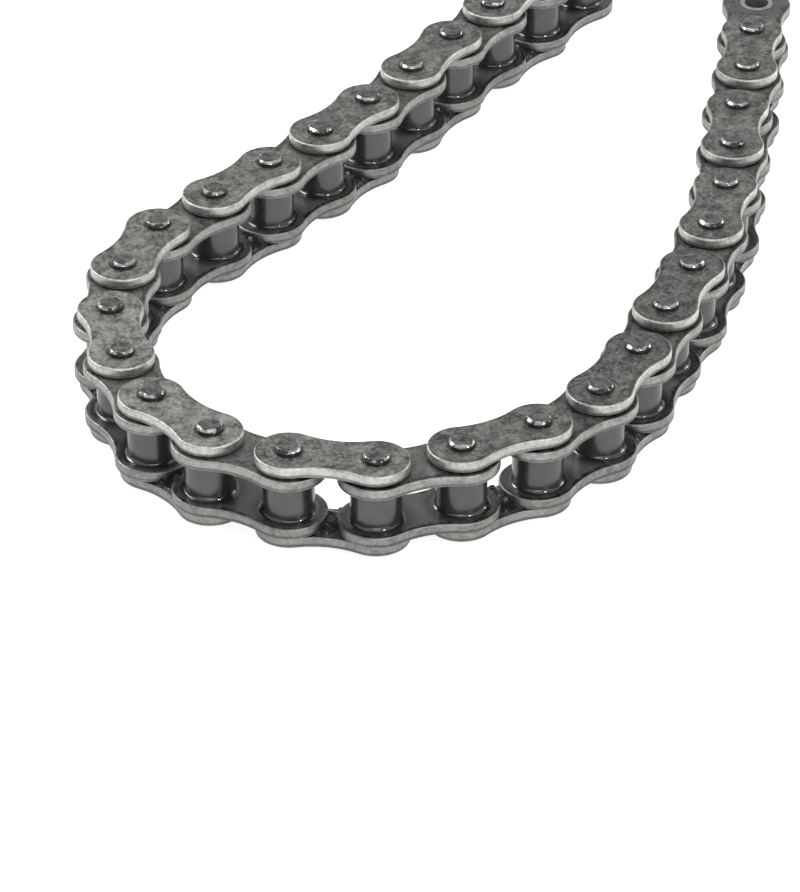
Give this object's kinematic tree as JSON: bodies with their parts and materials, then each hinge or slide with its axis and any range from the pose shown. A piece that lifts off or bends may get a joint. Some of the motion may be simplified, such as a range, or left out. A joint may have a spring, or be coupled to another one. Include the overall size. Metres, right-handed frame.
{
  "type": "motorcycle chain",
  "caption": "Plain roller chain for a motorcycle, lying in a loose bight: pinned outer links, bushed inner links and free rollers.",
  "frame": {"origin": "centre of the strand's bounding box, at the level of the pins' lower ends that it lies on", "axes": "+Z along the pins, upwards; +Y along the strand's two runs, from the bight to the two free ends; +X from the run with the first link to the run with the last"},
  "size_m": [0.1418, 0.2112, 0.019],
  "materials": {
    "outer_link_steel": "worn satin, bright at the edges",
    "inner_link_steel": "worn satin, oily",
    "roller_steel": "polished by the sprocket, oily"
  },
  "bodies": {
    "inner_link_01": {"inner_link_01": "inner_link_steel"},
    "outer_link_01": {"outer_link_01": "outer_link_steel"},
    "inner_link_02": {"inner_link_02": "inner_link_steel"},
    "outer_link_02": {"outer_link_02": "outer_link_steel"},
    "inner_link_03": {"inner_link_03": "inner_link_steel"},
    "outer_link_03": {"outer_link_03": "outer_link_steel"},
    "inner_link_04": {"inner_link_04": "inner_link_steel"},
    "outer_link_04": {"outer_link_04": "outer_link_steel"},
    "inner_link_05": {"inner_link_05": "inner_link_steel"},
    "outer_link_05": {"outer_link_05": "outer_link_steel"},
    "inner_link_06": {"inner_link_06": "inner_link_steel"},
    "outer_link_06": {"outer_link_06": "outer_link_steel"},
    "inner_link_07": {"inner_link_07": "inner_link_steel"},
    "outer_link_07": {"outer_link_07": "outer_link_steel"},
    "inner_link_08": {"inner_link_08": "inner_link_steel"},
    "outer_link_08": {"outer_link_08": "outer_link_steel"},
    "inner_link_09": {"inner_link_09": "inner_link_steel"},
    "outer_link_09": {"outer_link_09": "outer_link_steel"},
    "inner_link_10": {"inner_link_10": "inner_link_steel"},
    "outer_link_10": {"outer_link_10": "outer_link_steel"},
    "inner_link_11": {"inner_link_11": "inner_link_steel"},
    "outer_link_11": {"outer_link_11": "outer_link_steel"},
    "inner_link_12": {"inner_link_12": "inner_link_steel"},
    "outer_link_12": {"outer_link_12": "outer_link_steel"},
    "inner_link_13": {"inner_link_13": "inner_link_steel"},
    "outer_link_13": {"outer_link_13": "outer_link_steel"},
    "inner_link_14": {"inner_link_14": "inner_link_steel"},
    "outer_link_14": {"outer_link_14": "outer_link_steel"},
    "inner_link_15": {"inner_link_15": "inner_link_steel"},
    "roller_01": {"roller_01": "roller_steel"},
    "roller_02": {"roller_02": "roller_steel"},
    "roller_03": {"roller_03": "roller_steel"},
    "roller_04": {"roller_04": "roller_steel"},
    "roller_05": {"roller_05": "roller_steel"},
    "roller_06": {"roller_06": "roller_steel"},
    "roller_07": {"roller_07": "roller_steel"},
    "roller_08": {"roller_08": "roller_steel"},
    "roller_09": {"roller_09": "roller_steel"},
    "roller_10": {"roller_10": "roller_steel"},
    "roller_11": {"roller_11": "roller_steel"},
    "roller_12": {"roller_12": "roller_steel"},
    "roller_13": {"roller_13": "roller_steel"},
    "roller_14": {"roller_14": "roller_steel"},
    "roller_15": {"roller_15": "roller_steel"},
    "roller_16": {"roller_16": "roller_steel"},
    "roller_17": {"roller_17": "roller_steel"},
    "roller_18": {"roller_18": "roller_steel"},
    "roller_19": {"roller_19": "roller_steel"},
    "roller_20": {"roller_20": "roller_steel"},
    "roller_21": {"roller_21": "roller_steel"},
    "roller_22": {"roller_22": "roller_steel"},
    "roller_23": {"roller_23": "roller_steel"},
    "roller_24": {"roller_24": "roller_steel"},
    "roller_25": {"roller_25": "roller_steel"},
    "roller_26": {"roller_26": "roller_steel"},
    "roller_27": {"roller_27": "roller_steel"},
    "roller_28": {"roller_28": "roller_steel"},
    "roller_29": {"roller_29": "roller_steel"},
    "roller_30": {"roller_30": "roller_steel"}
  },
  "joints": [
    {"name": "link_hinge_01", "type": "hinge", "parent": "outer_link_01", "child": "inner_link_01", "pos_m": [0.0187, 0.08573, 0.00952], "axis": [0, 0, -1], "range_deg": [-44, 46]},
    {"name": "link_hinge_02", "type": "hinge", "parent": "inner_link_02", "child": "outer_link_01", "pos_m": [0.00915, 0.07305, 0.00952], "axis": [0, 0, 1], "range_deg": [-41, 49]},
    {"name": "link_hinge_03", "type": "hinge", "parent": "outer_link_02", "child": "inner_link_02", "pos_m": [0.0005, 0.05974, 0.00952], "axis": [0, 0, -1], "range_deg": [-47, 43]},
    {"name": "link_hinge_04", "type": "hinge", "parent": "inner_link_03", "child": "outer_link_02", "pos_m": [-0.00767, 0.04613, 0.00952], "axis": [0, 0, 1], "range_deg": [-30, 43]},
    {"name": "link_hinge_05", "type": "hinge", "parent": "outer_link_03", "child": "inner_link_03", "pos_m": [-0.01632, 0.03282, 0.00952], "axis": [0, 0, -1], "range_deg": [-42, 21]},
    {"name": "link_hinge_06", "type": "hinge", "parent": "inner_link_04", "child": "outer_link_03", "pos_m": [-0.02565, 0.01998, 0.00952], "axis": [0, 0, 1], "range_deg": [-17, 43]},
    {"name": "link_hinge_07", "type": "hinge", "parent": "outer_link_04", "child": "inner_link_04", "pos_m": [-0.03542, 0.00747, 0.00952], "axis": [0, 0, -1], "range_deg": [-42, 14]},
    {"name": "link_hinge_08", "type": "hinge", "parent": "inner_link_05", "child": "outer_link_04", "pos_m": [-0.04584, -0.00451, 0.00952], "axis": [0, 0, 1], "range_deg": [-12, 45]},
    {"name": "link_hinge_09", "type": "hinge", "parent": "outer_link_05", "child": "inner_link_05", "pos_m": [-0.05625, -0.0165, 0.00952], "axis": [0, 0, -1], "range_deg": [-64, 11]},
    {"name": "link_hinge_10", "type": "hinge", "parent": "inner_link_06", "child": "outer_link_05", "pos_m": [-0.0622, -0.03121, 0.00952], "axis": [0, 0, 1], "range_deg": [-10, 61]},
    {"name": "link_hinge_11", "type": "hinge", "parent": "outer_link_06", "child": "inner_link_06", "pos_m": [-0.06386, -0.047, 0.00952], "axis": [0, 0, -1], "range_deg": [-61, 9]},
    {"name": "link_hinge_12", "type": "hinge", "parent": "inner_link_07", "child": "outer_link_06", "pos_m": [-0.0611, -0.06264, 0.00952], "axis": [0, 0, 1], "range_deg": [-8, 58]},
    {"name": "link_hinge_13", "type": "hinge", "parent": "outer_link_07", "child": "inner_link_07", "pos_m": [-0.0549, -0.07725, 0.00952], "axis": [0, 0, -1], "range_deg": [-65, 7]},
    {"name": "link_hinge_14", "type": "hinge", "parent": "inner_link_08", "child": "outer_link_07", "pos_m": [-0.04408, -0.08886, 0.00952], "axis": [0, 0, 1], "range_deg": [-7, 66]},
    {"name": "link_hinge_15", "type": "hinge", "parent": "inner_link_08", "child": "outer_link_08", "pos_m": [-0.02981, -0.09582, 0.00952], "axis": [0, 0, 1], "range_deg": [-61, 7]},
    {"name": "link_hinge_16", "type": "hinge", "parent": "outer_link_08", "child": "inner_link_09", "pos_m": [-0.01417, -0.09858, 0.00952], "axis": [0, 0, -1], "range_deg": [-8, 72]},
    {"name": "link_hinge_17", "type": "hinge", "parent": "inner_link_09", "child": "outer_link_09", "pos_m": [0.00101, -0.09393, 0.00952], "axis": [0, 0, 1], "range_deg": [-57, 9]},
    {"name": "link_hinge_18", "type": "hinge", "parent": "outer_link_09", "child": "inner_link_10", "pos_m": [0.01489, -0.08624, 0.00952], "axis": [0, 0, -1], "range_deg": [-10, 60]},
    {"name": "link_hinge_19", "type": "hinge", "parent": "inner_link_10", "child": "outer_link_10", "pos_m": [0.02631, -0.07521, 0.00952], "axis": [0, 0, 1], "range_deg": [-63, 11]},
    {"name": "link_hinge_20", "type": "hinge", "parent": "outer_link_10", "child": "inner_link_11", "pos_m": [0.03377, -0.06119, 0.00952], "axis": [0, 0, -1], "range_deg": [-12, 52]},
    {"name": "link_hinge_21", "type": "hinge", "parent": "inner_link_11", "child": "outer_link_11", "pos_m": [0.03945, -0.04637, 0.00952], "axis": [0, 0, 1], "range_deg": [-45, 14]},
    {"name": "link_hinge_22", "type": "hinge", "parent": "outer_link_11", "child": "inner_link_12", "pos_m": [0.04514, -0.03155, 0.00952], "axis": [0, 0, -1], "range_deg": [-16, 50]},
    {"name": "link_hinge_23", "type": "hinge", "parent": "inner_link_12", "child": "outer_link_12", "pos_m": [0.04952, -0.01629, 0.00952], "axis": [0, 0, 1], "range_deg": [-48, 20]},
    {"name": "link_hinge_24", "type": "hinge", "parent": "outer_link_12", "child": "inner_link_13", "pos_m": [0.05309, -0.00082, 0.00952], "axis": [0, 0, -1], "range_deg": [-25, 50]},
    {"name": "link_hinge_25", "type": "hinge", "parent": "inner_link_13", "child": "outer_link_13", "pos_m": [0.0553, 0.0149, 0.00952], "axis": [0, 0, 1], "range_deg": [-46, 37]},
    {"name": "link_hinge_26", "type": "hinge", "parent": "outer_link_13", "child": "inner_link_14", "pos_m": [0.05724, 0.03065, 0.00952], "axis": [0, 0, -1], "range_deg": [-48, 42]},
    {"name": "link_hinge_27", "type": "hinge", "parent": "inner_link_14", "child": "outer_link_14", "pos_m": [0.05999, 0.04629, 0.00952], "axis": [0, 0, 1], "range_deg": [-48, 42]},
    {"name": "link_hinge_28", "type": "hinge", "parent": "outer_link_14", "child": "inner_link_15", "pos_m": [0.06193, 0.06204, 0.00952], "axis": [0, 0, -1], "range_deg": [-45, 45]},
    {"name": "roller_spin_01", "type": "hinge", "parent": "inner_link_01", "child": "roller_01", "pos_m": [0.02803, 0.09858, 0.00952], "axis": [0, 0, 1], "continuous": true},
    {"name": "roller_spin_02", "type": "hinge", "parent": "inner_link_01", "child": "roller_02", "pos_m": [0.0187, 0.08573, 0.00952], "axis": [0, 0, 1], "continuous": true},
    {"name": "roller_spin_03", "type": "hinge", "parent": "inner_link_02", "child": "roller_03", "pos_m": [0.00915, 0.07305, 0.00952], "axis": [0, 0, 1], "continuous": true},
    {"name": "roller_spin_04", "type": "hinge", "parent": "inner_link_02", "child": "roller_04", "pos_m": [0.0005, 0.05974, 0.00952], "axis": [0, 0, 1], "continuous": true},
    {"name": "roller_spin_05", "type": "hinge", "parent": "inner_link_03", "child": "roller_05", "pos_m": [-0.00767, 0.04613, 0.00952], "axis": [0, 0, 1], "continuous": true},
    {"name": "roller_spin_06", "type": "hinge", "parent": "inner_link_03", "child": "roller_06", "pos_m": [-0.01632, 0.03282, 0.00952], "axis": [0, 0, 1], "continuous": true},
    {"name": "roller_spin_07", "type": "hinge", "parent": "inner_link_04", "child": "roller_07", "pos_m": [-0.02565, 0.01998, 0.00952], "axis": [0, 0, 1], "continuous": true},
    {"name": "roller_spin_08", "type": "hinge", "parent": "inner_link_04", "child": "roller_08", "pos_m": [-0.03542, 0.00747, 0.00952], "axis": [0, 0, 1], "continuous": true},
    {"name": "roller_spin_09", "type": "hinge", "parent": "inner_link_05", "child": "roller_09", "pos_m": [-0.04584, -0.00451, 0.00952], "axis": [0, 0, 1], "continuous": true},
    {"name": "roller_spin_10", "type": "hinge", "parent": "inner_link_05", "child": "roller_10", "pos_m": [-0.05625, -0.0165, 0.00952], "axis": [0, 0, 1], "continuous": true},
    {"name": "roller_spin_11", "type": "hinge", "parent": "inner_link_06", "child": "roller_11", "pos_m": [-0.0622, -0.03121, 0.00952], "axis": [0, 0, 1], "continuous": true},
    {"name": "roller_spin_12", "type": "hinge", "parent": "inner_link_06", "child": "roller_12", "pos_m": [-0.06386, -0.047, 0.00952], "axis": [0, 0, 1], "continuous": true},
    {"name": "roller_spin_13", "type": "hinge", "parent": "inner_link_07", "child": "roller_13", "pos_m": [-0.0611, -0.06264, 0.00952], "axis": [0, 0, 1], "continuous": true},
    {"name": "roller_spin_14", "type": "hinge", "parent": "inner_link_07", "child": "roller_14", "pos_m": [-0.0549, -0.07725, 0.00952], "axis": [0, 0, 1], "continuous": true},
    {"name": "roller_spin_15", "type": "hinge", "parent": "inner_link_08", "child": "roller_15", "pos_m": [-0.04408, -0.08886, 0.00952], "axis": [0, 0, 1], "continuous": true},
    {"name": "roller_spin_16", "type": "hinge", "parent": "inner_link_08", "child": "roller_16", "pos_m": [-0.02981, -0.09582, 0.00952], "axis": [0, 0, 1], "continuous": true},
    {"name": "roller_spin_17", "type": "hinge", "parent": "inner_link_09", "child": "roller_17", "pos_m": [-0.01417, -0.09858, 0.00952], "axis": [0, 0, 1], "continuous": true},
    {"name": "roller_spin_18", "type": "hinge", "parent": "inner_link_09", "child": "roller_18", "pos_m": [0.00101, -0.09393, 0.00952], "axis": [0, 0, 1], "continuous": true},
    {"name": "roller_spin_19", "type": "hinge", "parent": "inner_link_10", "child": "roller_19", "pos_m": [0.01489, -0.08624, 0.00952], "axis": [0, 0, 1], "continuous": true},
    {"name": "roller_spin_20", "type": "hinge", "parent": "inner_link_10", "child": "roller_20", "pos_m": [0.02631, -0.07521, 0.00952], "axis": [0, 0, 1], "continuous": true},
    {"name": "roller_spin_21", "type": "hinge", "parent": "inner_link_11", "child": "roller_21", "pos_m": [0.03377, -0.06119, 0.00952], "axis": [0, 0, 1], "continuous": true},
    {"name": "roller_spin_22", "type": "hinge", "parent": "inner_link_11", "child": "roller_22", "pos_m": [0.03945, -0.04637, 0.00952], "axis": [0, 0, 1], "continuous": true},
    {"name": "roller_spin_23", "type": "hinge", "parent": "inner_link_12", "child": "roller_23", "pos_m": [0.04514, -0.03155, 0.00952], "axis": [0, 0, 1], "continuous": true},
    {"name": "roller_spin_24", "type": "hinge", "parent": "inner_link_12", "child": "roller_24", "pos_m": [0.04952, -0.01629, 0.00952], "axis": [0, 0, 1], "continuous": true},
    {"name": "roller_spin_25", "type": "hinge", "parent": "inner_link_13", "child": "roller_25", "pos_m": [0.05309, -0.00082, 0.00952], "axis": [0, 0, 1], "continuous": true},
    {"name": "roller_spin_26", "type": "hinge", "parent": "inner_link_13", "child": "roller_26", "pos_m": [0.0553, 0.0149, 0.00952], "axis": [0, 0, 1], "continuous": true},
    {"name": "roller_spin_27", "type": "hinge", "parent": "inner_link_14", "child": "roller_27", "pos_m": [0.05724, 0.03065, 0.00952], "axis": [0, 0, 1], "continuous": true},
    {"name": "roller_spin_28", "type": "hinge", "parent": "inner_link_14", "child": "roller_28", "pos_m": [0.05999, 0.04629, 0.00952], "axis": [0, 0, 1], "continuous": true},
    {"name": "roller_spin_29", "type": "hinge", "parent": "inner_link_15", "child": "roller_29", "pos_m": [0.06193, 0.06204, 0.00952], "axis": [0, 0, 1], "continuous": true},
    {"name": "roller_spin_30", "type": "hinge", "parent": "inner_link_15", "child": "roller_30", "pos_m": [0.06386, 0.0778, 0.00952], "axis": [0, 0, 1], "continuous": true}
  ]
}
